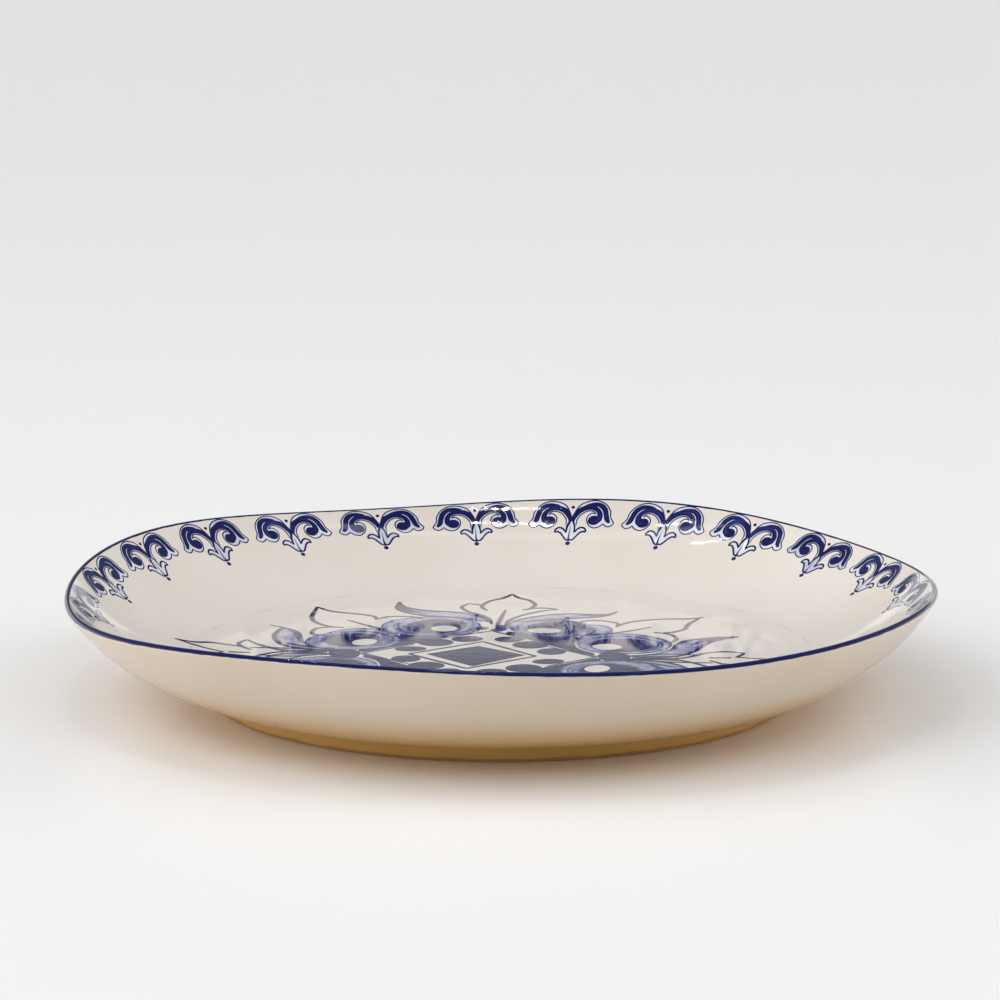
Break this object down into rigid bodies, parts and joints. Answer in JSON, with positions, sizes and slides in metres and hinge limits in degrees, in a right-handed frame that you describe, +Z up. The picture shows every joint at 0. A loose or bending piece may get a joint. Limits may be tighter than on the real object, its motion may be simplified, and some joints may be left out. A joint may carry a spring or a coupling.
{
  "type": "serving plate",
  "caption": "Round serving plate with a wavy lip on a foot ring, cream glazed, with a hand painted cobalt scroll border and a large square medallion in the well.",
  "frame": {"origin": "centre of the face that the foot ring rests on", "axes": "+Z up out of the dish; +X and +Y lie on the table, with the medallion's four long petals near +X, -X, +Y and -Y"},
  "size_m": [0.35, 0.35, 0.0492],
  "materials": {
    "clay": "matte",
    "cream_glaze": "gloss",
    "cobalt_paint": "gloss"
  },
  "bodies": {
    "root": {"clay_body": "clay", "foot_ring": "clay", "glaze_inside": "cream_glaze", "glaze_outside": "cream_glaze", "glaze_foot": "cream_glaze", "lip_line": "cobalt_paint", "border_painting": "cobalt_paint", "medallion_painting": "cobalt_paint"}
  },
  "joints": []
}
